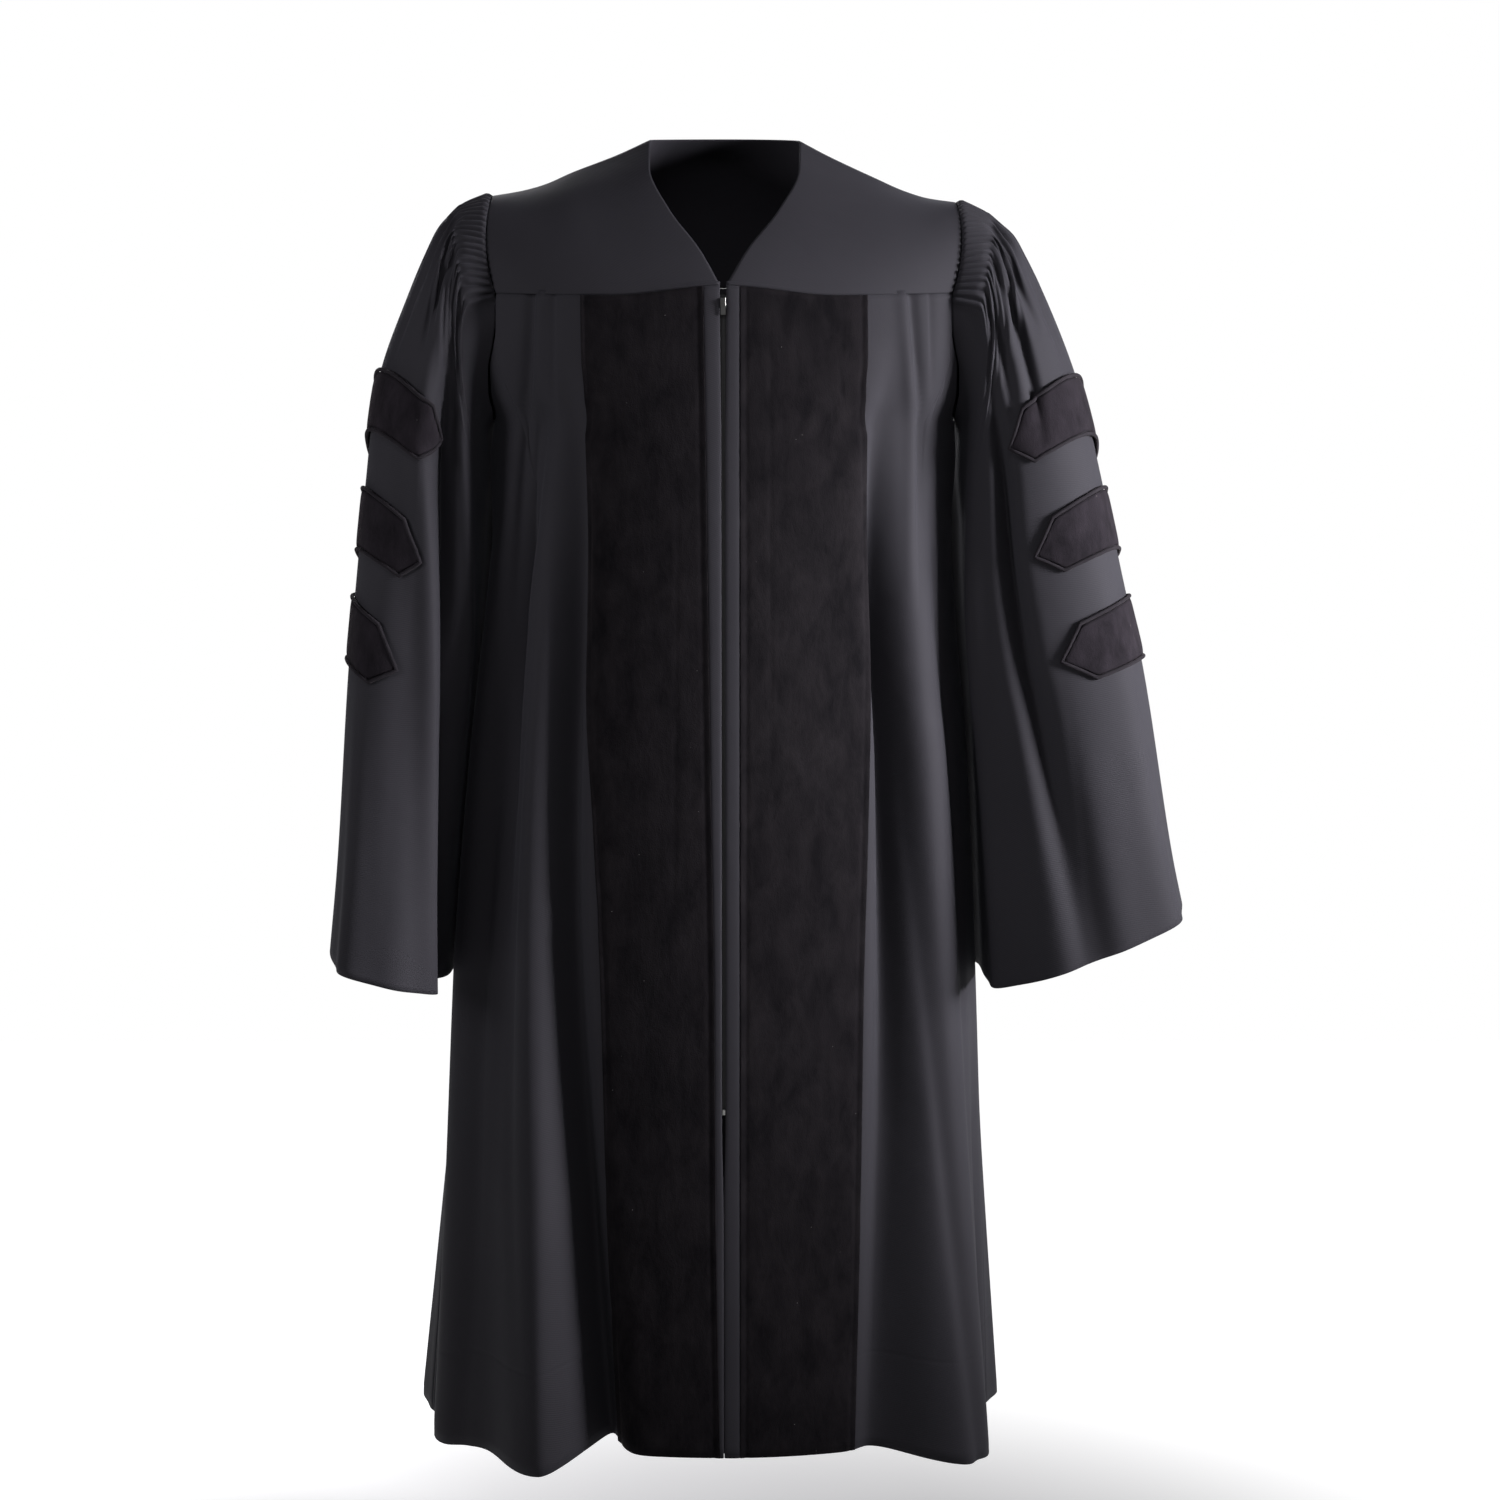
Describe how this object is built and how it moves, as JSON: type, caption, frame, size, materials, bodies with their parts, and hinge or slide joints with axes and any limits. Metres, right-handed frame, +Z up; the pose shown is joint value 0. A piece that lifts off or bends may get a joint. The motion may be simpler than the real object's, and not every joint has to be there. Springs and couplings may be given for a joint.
{
  "type": "graduation gown",
  "caption": "Black doctoral graduation gown in its worn shape, with V neck, front zip, velvet front panels, and bell sleeves with fluted heads and velvet bars.",
  "frame": {"origin": "between the two sides of the neck opening, at the level of the shoulders that carry the gown", "axes": "+Z up along the wearer, -Y out of the front, +X to the wearer's left"},
  "size_m": [0.7937, 0.3565, 1.2009],
  "materials": {
    "wool_cloth": "matt black wool blend suiting with a fine weave",
    "velvet": "deep black cotton velvet",
    "velvet_piping": "thin black velvet cord",
    "zip_tape": "woven black zip tape",
    "zip_metal": "bright nickel plate"
  },
  "bodies": {
    "gown": {"back": "wool_cloth", "yoke_back": "wool_cloth", "yoke_front_right": "wool_cloth", "yoke_front_left": "wool_cloth", "front_right": "wool_cloth", "front_left": "wool_cloth", "sleeve_right": "wool_cloth", "sleeve_left": "wool_cloth", "placket_right": "wool_cloth", "placket_left": "wool_cloth", "velvet_panel_right": "velvet", "velvet_panel_left": "velvet", "bar_right_1": "velvet", "bar_right_2": "velvet", "bar_right_3": "velvet", "bar_left_1": "velvet", "bar_left_2": "velvet", "bar_left_3": "velvet", "piping_right_1": "velvet_piping", "piping_right_2": "velvet_piping", "piping_right_3": "velvet_piping", "piping_left_1": "velvet_piping", "piping_left_2": "velvet_piping", "piping_left_3": "velvet_piping", "zip_tape": "zip_tape", "zip_slider": "zip_metal", "zip_stop": "zip_metal"},
    "pull": {"zip_pull": "zip_metal"}
  },
  "joints": [
    {"name": "pull_swing", "type": "hinge", "parent": "gown", "child": "pull", "pos_m": [0, -0.13056, -0.13655], "axis": [-1, 0, 0], "range_deg": [0, 160]}
  ]
}
